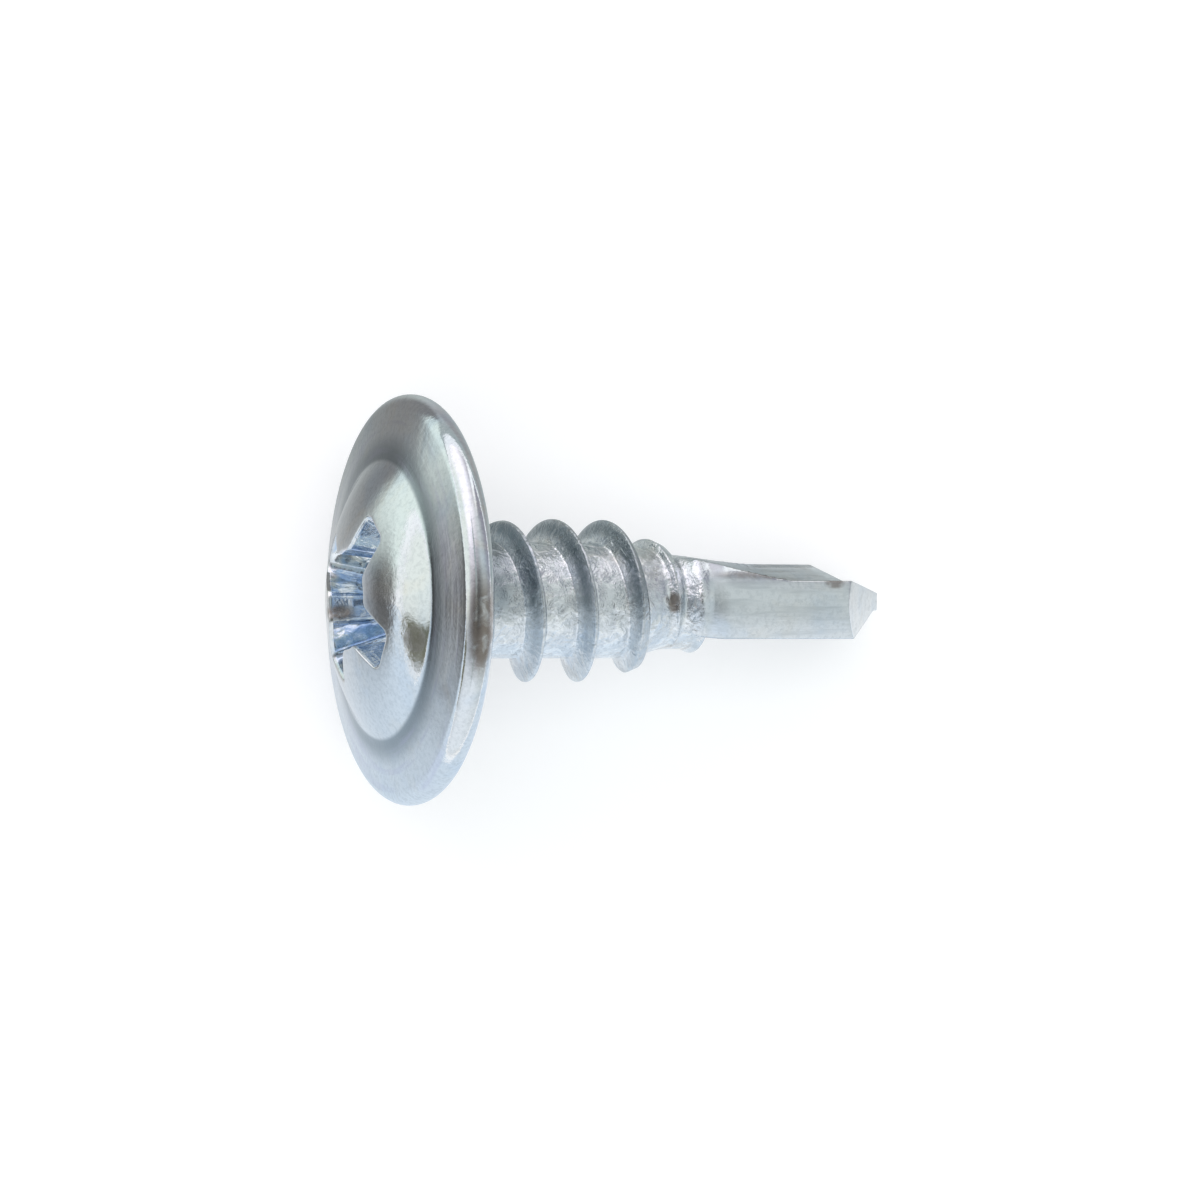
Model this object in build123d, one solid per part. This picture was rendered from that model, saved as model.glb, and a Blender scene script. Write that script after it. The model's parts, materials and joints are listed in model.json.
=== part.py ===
from build123d import *
import os
from math import acos, asin, atan2, ceil, cos, floor, hypot, radians, sin, sqrt, tan

# Self drilling screw with a wafer head: one piece of steel, headed, thread
# rolled and its drill point pinched to shape. Millimetres.
#
# It is drawn upright on +Z, from the head to the point, with z = 0 on the
# bearing face under the head. Angles run from +X towards +Y. At the end it is
# laid down on its rim and its drill point, as it rests on a bench.

# Head
head_diameter = 10.22
rim_edge_radius = 0.4       # the rim is fully round
flange_rise = 0.685         # from the middle of the rim to the foot of the dome
dome_diameter = 6.96
dome_height = 1.1
dome_foot_radius = 0.12
throat_diameter = 4.3       # of the cone under the head, clear of the thread
throat_height = 0.4

# Cross recess
recess_width = 4.42         # across two opposite wings, at the dome
recess_depth = 2.4          # from the top of the dome to the recess's tip
wing_width = 1.15
wing_draft = 3.5            # of a wing's side
wing_slope = 26.5           # of a wing's outer end
wing_end_radius = 0.25
core_diameter = 2.5         # across the corners between the wings
core_draft = 8.0
floor_slope = 21.0          # of the pointed floor
recess_turn = 35.5          # of the first wing from +X

# Shank, from the head to the drill point
root_diameter = 2.92
root_end = 5.55
neck_diameter = 2.46
neck_start = 6.4
collar_start = 7.15
collar_diameter = 2.64
collar_top = 7.24
neck_end = 7.31

# Thread
pitch = 1.41
thread_diameter = 4.1
flank_angle = 45.0
crest_flat = 0.07
crest_height_at_x = 2.063   # of a crest on the +X side
thread_start = 0.05
full_thread_start = 2.6
full_thread_end = 4.9
thread_taper = 22.0         # of the cone that the crests follow past that
thread_end = 6.4            # where the ridge starts to die away
thread_fade = 0.4           # the height it dies away in
ridge_sink = 0.2            # of the ridge's base under the neck's surface
turn_stations = 12

# Drill point
length = 12.63              # under the head
drill_diameter = 3.24
land_start = 6.7
land_step_diameter = 3.04
land_step_end = 6.98
land_full = 7.65
land_angle = 55.5           # taken by each land
lip_angle = 126.4           # of the first cutting lip from +X
lip_fall = 0.804            # for each mm from the axis
relief_fall = 0.56          # for each mm behind the lip
web = 0.5
web_angle = -36.5           # of the narrowest place of the first flute
flute_floor_share = 0.15    # of a flute's sides that its round floor takes
scoop_start = 6.4           # of the first flute's long run-out
scoop_length = 3.4
scoop_bend = 1.5            # 1 is straight
scoop_lead_angle = -35.0
scoop_trail_angle = 40.0
scoop_stations = 5

overrun = 1.0               # of a cutter past what it cuts

# Worked out from the sizes above
head_height = rim_edge_radius + flange_rise + dome_height
dome_radius = ((dome_diameter / 2) ** 2 + dome_height**2) / (2 * dome_height)
drill_radius = drill_diameter / 2
root_radius = root_diameter / 2
neck_radius = neck_diameter / 2
collar_radius = collar_diameter / 2
crest_radius = thread_diameter / 2


def polar(radius, angle):
    """The point at an angle in degrees from +X."""
    return Vector(radius * cos(radians(angle)), radius * sin(radians(angle)))


def turned(*points):
    """The solid of an outline of (radius, height) points, turned about Z."""
    return revolve(Plane.XZ * Polygon(*points, align=None), axis=Axis.Z)


def dome_depth(radius):
    """How far the dome has fallen at a radius."""
    return dome_radius - sqrt(dome_radius**2 - radius**2)


def head():
    """The flange with its round rim, and the dome on it."""
    rim_centre = Vector(head_diameter / 2 - rim_edge_radius, -rim_edge_radius)
    foot = Vector(dome_diameter / 2, rim_centre.Y - flange_rise)
    # the flange's top runs from the dome's foot to where it meets the rim smoothly
    slant = foot - rim_centre
    touch = atan2(slant.Y, slant.X) + acos(rim_edge_radius / slant.length)
    rim_start = rim_centre + Vector(cos(touch), sin(touch)) * rim_edge_radius
    rim_middle = Vector(head_diameter / 2, rim_centre.Y)
    rim_end = Vector(rim_centre.X, 0)
    with BuildPart() as made:
        with BuildSketch(Plane.XZ) as section:
            with BuildLine():
                Line((0, 0), (0, -head_height))
                RadiusArc((0, -head_height), foot, -dome_radius)
                Line(foot, rim_start)
                ThreePointArc(rim_start, rim_middle, rim_end)
                Line(rim_end, (0, 0))
            make_face()
            foot_corner = section.vertices().sort_by_distance(Plane.XZ.from_local_coords(foot))[0]
            fillet(foot_corner, dome_foot_radius)
        revolve(axis=Axis.Z)
    return made.part


def wing(turn):
    """One straight wing of the recess, right across the head, with drafted sides."""
    mouth = dome_depth(recess_width / 2)

    def outline(depth):
        fall = depth - mouth
        across = recess_width - 2 * fall * tan(radians(wing_slope))
        wide = wing_width - 2 * fall * tan(radians(wing_draft))
        plane = Plane.XY.offset(depth - head_height)
        return plane * RectangleRounded(across, wide, wing_end_radius)

    return Rot(Z=turn) * loft([outline(-overrun), outline(recess_depth)])


def recess():
    """The cross recess: two crossed wings, a tapered core and a pointed floor."""
    core_top = core_diameter / 2 + overrun * tan(radians(core_draft))
    core_floor = core_diameter / 2 - recess_depth * tan(radians(core_draft))
    top = -head_height - overrun
    tip = recess_depth - head_height
    core = turned((0, top), (core_top, top), (core_floor, tip), (0, tip))
    reach = recess_width
    floor = turned(
        (0, top),
        (reach, top),
        (reach, tip - reach * tan(radians(floor_slope))),
        (0, tip),
    )
    cross = wing(recess_turn) + wing(recess_turn + 90) + core
    return cross & floor


def shank():
    """The throat cone, the root cylinder, the neck and its collar."""
    return turned(
        (0, -rim_edge_radius),
        (throat_diameter / 2, -rim_edge_radius),
        (throat_diameter / 2, 0),
        (root_radius, throat_height),
        (root_radius, root_end),
        (neck_radius, neck_start),
        (neck_radius, collar_start),
        (collar_radius, collar_top),
        (collar_radius, neck_end),
        (0, neck_end),
    )


def thread_turn():
    """One turn of the thread's ridge, right-handed, from +X round to +X."""
    base_radius = neck_radius - ridge_sink
    half_crest = crest_flat / 2
    half_base = half_crest + (crest_radius - base_radius) * tan(radians(flank_angle / 2))
    profile = Plane.XZ * Polygon(
        (base_radius, -half_base),
        (crest_radius, -half_crest),
        (crest_radius, half_crest),
        (base_radius, half_base),
        align=None,
    )
    stations = []
    for station in range(turn_stations + 1):
        share = station / turn_stations
        stations.append(Pos(0, 0, share * pitch) * Rot(Z=share * 360) * profile)
    return loft(stations)


def thread():
    """The turns of the ridge, inside an envelope that raises it from the root near
    the head, cuts its crests down on a cone and sinks its end into the neck."""
    past_crest = crest_radius + crest_flat
    buried = neck_radius - ridge_sink
    steepness = tan(radians(thread_taper))
    cone_start = full_thread_end - (past_crest - crest_radius) / steepness
    last_crest = crest_radius - (thread_end - full_thread_end) * steepness
    envelope = turned(
        (0, thread_start),
        (root_radius - thread_start, thread_start),
        (past_crest, full_thread_start),
        (past_crest, cone_start),
        (last_crest, thread_end),
        (buried, thread_end + thread_fade),
        (0, thread_end + thread_fade),
    )
    first = floor((thread_start - crest_height_at_x) / pitch) - 1
    last = ceil((thread_end + thread_fade - crest_height_at_x) / pitch)
    one = thread_turn()
    turns = [Pos(0, 0, crest_height_at_x + turn * pitch) * one for turn in range(first, last + 1)]
    ridge = turns[0] + turns[1:]
    return ridge & envelope


def flute_outline(height, open_share):
    """A flute's cutter at a height: a V with a round floor, closed well outside.
    At open_share 1 it is the full flute, and at 0 it only touches the neck."""

    def between(shut, opened):
        return shut + (opened - shut) * open_share

    middle = (scoop_lead_angle + scoop_trail_angle) / 2
    floor = between(polar(neck_radius, middle), polar(web / 2, web_angle))
    lead = polar(drill_radius, between(scoop_lead_angle, lip_angle - 180))
    trail = polar(drill_radius, between(scoop_trail_angle, lip_angle - land_angle))
    outside = polar(drill_diameter + overrun, middle)
    to_lead, to_trail = lead - floor, trail - floor
    round_lead = floor + to_lead * flute_floor_share
    round_trail = floor + to_trail * flute_floor_share
    lead_out = lead + to_lead.normalized() * overrun
    trail_out = trail + to_trail.normalized() * overrun
    with BuildSketch(Plane.XY.offset(height)) as made:
        with BuildLine():
            Bezier(round_lead, floor, round_trail)
            Line(round_trail, trail_out)
            Line(trail_out, outside)
            Line(outside, lead_out)
            Line(lead_out, round_lead)
        make_face()
    return made.sketch.face()


def scoop():
    """The cutter of the first flute, which runs out along the neck in a long curve."""
    outlines = []
    for station in range(scoop_stations):
        along = station / (scoop_stations - 1)
        open_share = 1 - (1 - along) ** scoop_bend
        outlines.append(flute_outline(scoop_start + along * scoop_length, open_share))
    full = scoop_start + scoop_length
    return loft(outlines) + extrude(flute_outline(full, 1), length + overrun - full)


def drill_blank():
    """The lands' round outside, with the second flute, which ends squarely."""
    blank = turned(
        (0, land_start),
        (neck_radius, land_start),
        (land_step_diameter / 2, land_step_end),
        (drill_radius, land_full),
        (drill_radius, length),
        (0, length),
    )
    start = land_start - overrun
    cutter = extrude(flute_outline(start, 1), length + overrun - start)
    return blank - Rot(Z=180) * cutter


def end_cutter(turn):
    """What the slanting end face behind one cutting lip cuts away."""
    lip = polar(1, lip_angle + turn)
    behind = polar(1, lip_angle + turn - 90)
    up = Vector(0, 0, 1) + lip * lip_fall + behind * relief_fall
    past_point = extrude(Circle(length), length)
    return Plane(origin=(0, 0, length), z_dir=up) * past_point


def screw():
    body = head() + shank() + thread() + drill_blank()
    body -= scoop()
    for turn in (0, 180):
        body -= end_cutter(turn)
    return body - recess()


def resting_tilt():
    """The angle of the axis to the bench when the rim and the far land touch it.
    The land touches at the end of its back, straight below the axis."""
    behind_lip = radians(lip_angle + 180 - 270)
    end_fall = lip_fall * cos(behind_lip) + relief_fall * sin(behind_lip)
    along = length - drill_radius * end_fall + rim_edge_radius
    across = head_diameter / 2 - rim_edge_radius - drill_radius
    return atan2(across, along) + asin(rim_edge_radius / hypot(across, along))


def laid_down(part):
    """The screw on the bench, z = 0, with its point towards +X, over the origin."""
    tilt = resting_tilt()
    lying = Plane(origin=(0, 0, 0), x_dir=(0, 1, 0), z_dir=(cos(tilt), 0, -sin(tilt)))
    placed = lying * part
    box = placed.bounding_box()
    return Pos(-box.center().X, -box.center().Y, -box.min.Z) * placed


os.makedirs("parts", exist_ok=True)
export_step(laid_down(screw()), "parts/self_drilling_screw.step")
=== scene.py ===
"""A self drilling screw: head, recess, thread, drill point, zinc and studio."""

import json
import math

import bmesh
import bpy
import numpy as np
from mathutils import Matrix, Vector


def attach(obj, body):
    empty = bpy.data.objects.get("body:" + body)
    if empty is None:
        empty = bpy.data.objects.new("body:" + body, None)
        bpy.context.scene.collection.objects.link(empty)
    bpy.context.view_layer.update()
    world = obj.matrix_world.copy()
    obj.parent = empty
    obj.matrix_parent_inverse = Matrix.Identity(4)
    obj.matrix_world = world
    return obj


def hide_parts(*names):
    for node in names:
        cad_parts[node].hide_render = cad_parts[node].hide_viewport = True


bl_info = {
    "name": "Self Drilling Screw",
    "version": (1, 0, 0),
    "blender": (4, 5, 0),
    "location": "3D View > Sidebar > Screw",
    "description": "Makes a wafer head self drilling screw and the studio it lies in",
    "category": "Add Mesh",
}

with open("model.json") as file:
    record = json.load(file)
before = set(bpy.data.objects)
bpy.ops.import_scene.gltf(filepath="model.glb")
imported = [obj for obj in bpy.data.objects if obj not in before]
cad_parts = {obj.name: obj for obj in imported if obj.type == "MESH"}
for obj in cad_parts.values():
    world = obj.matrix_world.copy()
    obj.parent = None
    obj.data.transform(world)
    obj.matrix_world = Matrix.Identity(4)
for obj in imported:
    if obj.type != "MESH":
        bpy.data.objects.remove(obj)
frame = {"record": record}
NODE = "self_drilling_screw"
MM = 0.001


def length(name, value, description):
    """A size property, written in millimetres."""
    return bpy.props.FloatProperty(
        name=name, description=description, default=value * MM, unit="LENGTH", precision=5
    )


def angle(name, value, description):
    """An angle property, written in degrees."""
    return bpy.props.FloatProperty(
        name=name, description=description, default=math.radians(value), subtype="ANGLE"
    )


def colour(name, value, description):
    """A colour property."""
    return bpy.props.FloatVectorProperty(
        name=name, description=description, default=value, size=3, subtype="COLOR", min=0, max=1
    )


def amount(name, value, description):
    """A property for a plain number that is never negative."""
    return bpy.props.FloatProperty(name=name, description=description, default=value, min=0)


class ScrewHeadSizes(bpy.types.PropertyGroup):
    """Sizes of the head and its cross recess."""

    diameter: length("Diameter", 10.22, "Across the round rim")
    rim: length("Rim Radius", 0.4, "Half the thickness of the round rim")
    flange_rise: length("Flange Rise", 0.685, "From the middle of the rim to the dome's foot")
    dome_diameter: length("Dome Diameter", 6.96, "Across the foot of the dome")
    dome_height: length("Dome Height", 1.1, "From the dome's foot to its top")
    foot_radius: length("Foot Radius", 0.16, "Of the crease round the dome")
    throat_diameter: length("Throat Diameter", 4.3, "Of the cone under the head")
    throat_height: length("Throat Height", 0.4, "Of the cone under the head")
    recess_width: length("Recess Width", 4.42, "Across two opposite wings")
    recess_depth: length("Recess Depth", 2.4, "From the dome's top to the recess's tip")
    wing_width: length("Wing Width", 1.15, "Of each wing at the dome")
    wing_corner: length("Wing Corner", 0.25, "Radius of a wing's corners")
    wing_draft: angle("Wing Draft", 3.5, "Of a wing's sides")
    wing_slope: angle("Wing Slope", 26.5, "Of a wing's outer end")
    core_diameter: length("Core Diameter", 2.5, "Across the corners between the wings")
    core_draft: angle("Core Draft", 8.0, "Of the core between the wings")
    floor_slope: angle("Floor Slope", 21.0, "Of the pointed floor")
    recess_turn: angle("Recess Turn", 35.5, "Of the first wing about the axis")
    mouth_radius: length("Mouth Radius", 0.07, "Of the rounded edge of the recess")
    inner_round: length("Inner Round", 0.26, "Where the wings run into the core")
    throat_round: length("Throat Round", 0.12, "Between the bearing face and the throat")


class ScrewShankSizes(bpy.types.PropertyGroup):
    """Sizes of the shank, the thread and the drill point."""

    root: length("Root Diameter", 2.92, "Of the shank between the turns of the thread")
    root_end: length("Root End", 5.55, "Where the shank starts to narrow to the neck")
    neck: length("Neck Diameter", 2.46, "Between the thread and the drill point")
    neck_start: length("Neck Start", 6.4, "Where the neck is at its narrowest")
    collar: length("Collar Diameter", 2.64, "Of the bead that ends the rolled part")
    collar_start: length("Collar Start", 7.15, "Where the collar rises from the neck")
    collar_top: length("Collar Top", 7.24, "Where the collar is at its widest")
    neck_end: length("Neck End", 7.31, "The collar's flat end")
    pitch: length("Pitch", 1.41, "From crest to crest of the thread")
    thread: length("Thread Diameter", 4.1, "Over the crests")
    flank: angle("Flank Angle", 45.0, "Between the two sides of the ridge")
    crest: length("Crest Flat", 0.07, "Width of the ridge's top")
    crest_at_x: length("Crest Height", 2.063, "Of one crest where the turn begins")
    thread_start: length("Thread Start", 0.05, "Where the ridge leaves the shank")
    full_start: length("Full Thread Start", 2.6, "Where the ridge is full")
    full_end: length("Full Thread End", 4.9, "Where the crests begin to fall")
    taper: angle("Thread Taper", 22.0, "Of the cone that the last crests follow")
    thread_end: length("Thread End", 6.4, "Where the ridge starts to die away")
    fade: length("Thread Fade", 0.4, "The height in which the ridge dies away")
    tip: length("Length", 12.63, "From the bearing face to the chisel edge")
    drill: length("Drill Diameter", 3.24, "Across the lands of the drill point")
    land_start: length("Land Start", 6.7, "Where the lands leave the neck")
    land_step: length("Land Step Diameter", 3.04, "Of the first step of the lands")
    land_step_end: length("Land Step End", 6.98, "Where the first step ends")
    land_full: length("Full Land", 7.65, "Where the lands reach the drill diameter")
    land_angle: angle("Land Angle", 55.5, "Taken by each land")
    lip_angle: angle("Lip Angle", 126.4, "Of the first cutting lip")
    lip_fall: amount("Lip Fall", 0.804, "Fall of a lip for its distance from the axis")
    relief_fall: amount("Relief Fall", 0.56, "Fall of an end face behind its lip")
    web: length("Web", 0.5, "Steel left between the two flutes")
    web_angle: angle("Web Angle", -36.5, "Of the narrowest place of the first flute")
    scoop_start: length("Run-out Start", 6.4, "Where the first flute runs out on the neck")
    scoop: length("Run-out Length", 3.4, "Of the first flute's long run-out")
    scoop_bend: amount("Run-out Bend", 1.5, "How fast the flute deepens, 1 is straight")
    scoop_lead: angle("Run-out Lead", -35.0, "Angle of the flute's leading edge at its run-out")
    scoop_trail: angle("Run-out Trail", 40.0, "Angle of its trailing edge at its run-out")


class ZincFinish(bpy.types.PropertyGroup):
    """Colours of the bright zinc plate, with its painted glints, painted shade and painted dark
    reflections.
    """

    plate: colour("Plate", (0.79, 0.82, 0.845), "Clean bright zinc")
    bright: colour("Bright", (0.93, 0.95, 0.96), "Glints between the thread's turns")
    blue: colour("Blue", (0.60, 0.70, 0.82), "Where the passivation is thicker")
    warm: colour("Warm", (0.80, 0.77, 0.71), "Where the passivation is thin")
    # painted shade in the crease, on the ridges and by the head; also random mottle
    shade_and_mottle: colour("Shade and Mottle", (0.33, 0.375, 0.405), "Painted shade in the crease, on the ridges and by the head, and random mottle")
    # painted bluish shade in the recess
    deep: colour("Deep", (0.52, 0.63, 0.77), "Painted bluish shade in the recess")
    violet: colour("Violet", (0.56, 0.55, 0.70), "Streaks of thick passivation on the flange")
    # painted shade in the flutes, brownish grey
    pinched: colour("Pinched", (0.31, 0.285, 0.27), "Painted shade in the pinched flutes, brownish grey")
    # painted dark reflections and shade, and dark spots
    painted_dark: colour("Painted Dark", (0.26, 0.22, 0.19), "Painted dark reflections and shade, and dark spots, brownish")


class StudioSettings(bpy.types.PropertyGroup):
    """The floor, the lamps and the camera."""

    floor: colour("Floor", (0.8, 0.8, 0.8), "The bench")
    floor_glow: amount("Floor Glow", 0.3, "Added to the bench to make it white")
    lamp: amount("Lamp", 1.6, "Watts of the lamp over the bench")
    camera_distance: length("Camera Distance", 118.8, "From the lens to the head")
    camera_turn: angle("Camera Turn", 23.32, "How far the screw points away from the lens")
    camera_roll: angle("Camera Roll", -0.2, "Of the axis in the camera's view")
    camera_aim: length("Camera Aim", 4.786, "Sideways from the rim to the view's middle")
    focal_length: amount("Focal Length", 143.415, "Of the lens, in mm, with the 36 mm sensor")


def settings(name):
    """The scene's property group with a name."""
    return getattr(bpy.context.scene, name)


def lying():
    """The matrix that lays the upright screw down as the frame has it."""
    mounts = {mount["name"]: mount for mount in frame["record"]["mounts"]}
    down = Vector(mounts["thread"]["axis"])
    shank = settings("screw_shank")
    middle = (shank.full_start + shank.full_end) / 2
    origin = Vector(mounts["thread"]["pos_m"]) - down * middle
    across = Vector((0, 1, 0))
    up = down.cross(across)
    return Matrix.Translation(origin) @ Matrix((across, up, down)).transposed().to_4x4()


# ---------------------------------------------------------------- head


HEAD_COLUMNS = 256
FLOOR_RINGS, WALL_RINGS, DOME_RINGS = 14, 14, 18
FLANGE_RINGS, RIM_RINGS, FACE_RINGS = 7, 19, 7
FINE_ANGLES = 7201  # tried when the columns are spread
EVENNESS = 0.35  # how much of the columns is spread evenly round the axis
FOOT_GUESS = 0.7  # of the recess's depth, where its floor is first taken to meet the wall
SETTLING_STEPS = 30
THROAT_RUN_ON = 1.1  # times its height, so that it ends inside the shank
POLE_STEP = 0.1 * MM
NEARLY_ZERO = 1e-6
WELD = 1e-7  # metres within which points are one


def bend(start, corner, end, share):
    """A point on the round between two straight runs, for a share from 0 to 1."""
    return (1 - share) ** 2 * start + 2 * share * (1 - share) * corner + share**2 * end


def wing_reach(turn, half_long, half_wide, corner):
    """Distance from the axis to the edge of a round-cornered wing, at angles from its own."""
    c, s = np.abs(np.cos(turn)), np.abs(np.sin(turn))
    to_side = half_wide / np.maximum(s, NEARLY_ZERO)
    to_end = half_long / np.maximum(c, NEARLY_ZERO)
    px, py = half_long - corner, half_wide - corner
    along = px * c + py * s
    past = corner**2 - (px * s - py * c) ** 2
    to_round = along + np.sqrt(np.maximum(past, 0))
    return np.where(to_side * c <= px, to_side, np.where(to_end * s <= py, to_end, to_round))


def soft_max(a, b, width):
    """The higher of two numbers, rounded over where they are closer than the width."""
    near = np.maximum(width - np.abs(a - b), 0) / width
    return np.maximum(a, b) + near**3 * width / 6


def dome_radius(size):
    """The radius of the ball that the dome is part of."""
    return ((size.dome_diameter / 2) ** 2 + size.dome_height**2) / (2 * size.dome_height)


def dome_fall(size, radius):
    """How far the dome has fallen at a distance from the axis."""
    dome = dome_radius(size)
    return dome - np.sqrt(dome**2 - radius**2)


def recess_reach(size, turn, depth):
    """Distance from the axis to the recess's wall, at angles and depths under the dome's top."""
    fall = depth - dome_fall(size, size.recess_width / 2)
    half_long = size.recess_width / 2 - fall * math.tan(size.wing_slope)
    half_wide = size.wing_width / 2 - fall * math.tan(size.wing_draft)
    first, second = (
        wing_reach(turn - wing_turn, half_long, half_wide, size.wing_corner)
        for wing_turn in (size.recess_turn, size.recess_turn + math.pi / 2)
    )
    core = size.core_diameter / 2 - depth * math.tan(size.core_draft)
    return soft_max(np.maximum(first, second), core, size.inner_round)


def recess_columns(size, count):
    """Angles spread along the edge of the recess, so that its steep sides get their share."""
    fine = np.linspace(0, 2 * math.pi, FINE_ANGLES)
    reach = recess_reach(size, fine, dome_fall(size, size.recess_width / 2))
    x, y = reach * np.cos(fine), reach * np.sin(fine)
    steps = np.hypot(np.diff(x), np.diff(y)) + EVENNESS * size.recess_width * np.diff(fine)
    run = np.concatenate([[0], np.cumsum(steps)])
    return np.interp(np.linspace(0, run[-1], count, endpoint=False), run, fine)


class Rings:
    """Rings of (radius, height) at the same angles, from the recess's tip outwards."""

    def __init__(self, turn, top):
        self.turn = turn
        self.top = top
        self.made = []

    def add(self, radius, depth):
        """A ring at a depth under the top; both may be one number or one for each angle."""
        radius, depth = np.broadcast_arrays(radius, depth, self.turn)[:2]
        self.made.append((np.array(radius), self.top + np.array(depth)))

    def add_round(self, shares, start, corner, end):
        """Rings on the round between two runs that would meet in the corner."""
        for share in shares:
            self.add(*(bend(*values, share) for values in zip(start, corner, end)))


def recess_rings(rings, size):
    """The pointed floor, a round into the wall, the wall, and a round over its edge."""
    turn, soft = rings.turn, size.mouth_radius
    slope = math.tan(size.floor_slope)
    mouth = np.full_like(turn, dome_fall(size, size.recess_width / 2))
    foot = np.full_like(turn, size.recess_depth * FOOT_GUESS)
    for _ in range(SETTLING_STEPS):
        mouth = 0.5 * mouth + 0.5 * dome_fall(size, recess_reach(size, turn, mouth))
        foot = 0.5 * foot + 0.5 * (size.recess_depth - slope * recess_reach(size, turn, foot))

    foot_reach = recess_reach(size, turn, foot)
    floor_end = foot_reach - soft
    for share in np.linspace(0, 1, FLOOR_RINGS):
        radius = floor_end * share
        rings.add(radius, size.recess_depth - slope * radius)
    wall_start = foot - soft
    rings.add_round(
        (0.25, 0.5, 0.75),
        (floor_end, size.recess_depth - slope * floor_end),
        (foot_reach, foot),
        (recess_reach(size, turn, wall_start), wall_start),
    )
    wall_end = mouth + soft
    for share in np.linspace(0, 1, WALL_RINGS):
        depth = wall_start + (wall_end - wall_start) * share
        rings.add(recess_reach(size, turn, depth), depth)
    mouth_reach = recess_reach(size, turn, mouth)
    over = mouth_reach + soft
    rings.add_round(
        (0.2, 0.4, 0.6, 0.8),
        (recess_reach(size, turn, wall_end), wall_end),
        (mouth_reach, mouth),
        (over, dome_fall(size, over)),
    )
    return over


def dome_and_flange_rings(rings, size, over):
    """The dome from the recess's edge, the crease at its foot, the flange and its rim."""
    foot = Vector((size.dome_diameter / 2, size.dome_height))
    rim = Vector((size.diameter / 2 - size.rim, size.dome_height + size.flange_rise))
    dome_end = foot.x - size.foot_radius
    for share in np.linspace(0, 1, DOME_RINGS):
        radius = over + (dome_end - over) * share
        rings.add(radius, dome_fall(size, radius))
    slant = foot - rim
    touch = math.atan2(slant.y, slant.x) + math.acos(size.rim / slant.length)
    rim_touch = rim + size.rim * Vector((math.cos(touch), math.sin(touch)))
    flange_start = foot + (rim_touch - foot).normalized() * size.foot_radius
    rings.add_round(
        (0.17, 0.33, 0.5, 0.67, 0.83),
        (dome_end, dome_fall(size, dome_end)),
        foot,
        flange_start,
    )
    for share in np.linspace(0, 1, FLANGE_RINGS)[:-1]:
        rings.add(*flange_start.lerp(rim_touch, share))
    for share in np.linspace(0, 1, RIM_RINGS):
        turned = touch + (math.pi / 2 - touch) * share
        rings.add(rim.x + size.rim * math.cos(turned), rim.y + size.rim * math.sin(turned))
    return rim


def underside_rings(rings, size, rim):
    """The bearing face, and the throat down to where the shank hides its end."""
    face = rim.y + size.rim
    throat, soft = size.throat_diameter / 2, size.throat_round
    for share in np.linspace(0, 1, FACE_RINGS)[1:]:
        rings.add(rim.x + (throat + soft - rim.x) * share, face)
    steep = (settings("screw_shank").root / 2 - throat) / size.throat_height
    rings.add_round(
        (0.25, 0.5, 0.75, 1),
        (throat + soft, face),
        (throat, face),
        (throat + steep * soft, face + soft),
    )
    end = size.throat_height * THROAT_RUN_ON
    for share in (0.35, 0.7, 1):
        drop = soft + (end - soft) * share
        rings.add(throat + steep * drop, face + drop)
    rings.add(0, face + end + POLE_STEP)


def head_rings(size, turn):
    """All the rings of the head, from the recess's tip to the pole inside the shank."""
    rings = Rings(turn, -(size.rim + size.flange_rise + size.dome_height))
    over = recess_rings(rings, size)
    rim = dome_and_flange_rings(rings, size, over)
    underside_rings(rings, size, rim)
    return rings.made


def ring_mesh(name, rings, turn):
    """A closed mesh from rings; the first and the last ring are poles."""
    mesh = bpy.data.meshes.new(name)
    made = bmesh.new()
    loops = [
        [made.verts.new((r * math.cos(t), r * math.sin(t), z)) for r, z, t in zip(rs, zs, turn)]
        for rs, zs in rings
    ]
    count = len(turn)
    for inner, outer in zip(loops, loops[1:]):
        for i in range(count):
            j = (i + 1) % count
            made.faces.new((inner[i], inner[j], outer[j], outer[i]))
    bmesh.ops.remove_doubles(made, verts=made.verts, dist=WELD)
    bmesh.ops.recalc_face_normals(made, faces=made.faces)
    made.to_mesh(mesh)
    made.free()
    return mesh


# ---------------------------------------------------------------- shank


class Term:
    """A number in a node tree. Arithmetic on it adds the Math nodes for it."""

    def __init__(self, tree, socket):
        self.tree = tree
        self.socket = socket

    def math(self, operation, *values):
        """A Math node on these values."""
        node = self.tree.nodes.new("ShaderNodeMath")
        node.operation = operation
        for slot, value in zip(node.inputs, values):
            if isinstance(value, Term):
                self.tree.links.new(value.socket, slot)
            else:
                slot.default_value = value
        return Term(self.tree, node.outputs[0])

    def __add__(self, other):
        return self.math("ADD", self, other)

    def __radd__(self, other):
        return self.math("ADD", other, self)

    def __sub__(self, other):
        return self.math("SUBTRACT", self, other)

    def __rsub__(self, other):
        return self.math("SUBTRACT", other, self)

    def __mul__(self, other):
        return self.math("MULTIPLY", self, other)

    def __rmul__(self, other):
        return self.math("MULTIPLY", other, self)

    def __truediv__(self, other):
        return self.math("DIVIDE", self, other)

    def __abs__(self):
        return self.math("ABSOLUTE", self)


def sin(a):
    return a.math("SINE", a)


def cos(a):
    return a.math("COSINE", a)


def tan(a):
    return a.math("TANGENT", a)


def root(a):
    return a.math("SQRT", a)


def floor(a):
    return a.math("FLOOR", a)


def power(a, b):
    return a.math("POWER", a, b)


def lower(a, b, soft=0.0):
    """The lower of two numbers, rounded over where they are closer than soft."""
    return (a if isinstance(a, Term) else b).math("SMOOTH_MIN", a, b, soft)


def higher(a, b, soft=0.0):
    """The higher of two numbers, rounded over in the same way."""
    return (a if isinstance(a, Term) else b).math("SMOOTH_MAX", a, b, soft)


def limited(a, low, high):
    """A number kept between two others."""
    return higher(lower(a, high), low)


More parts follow.
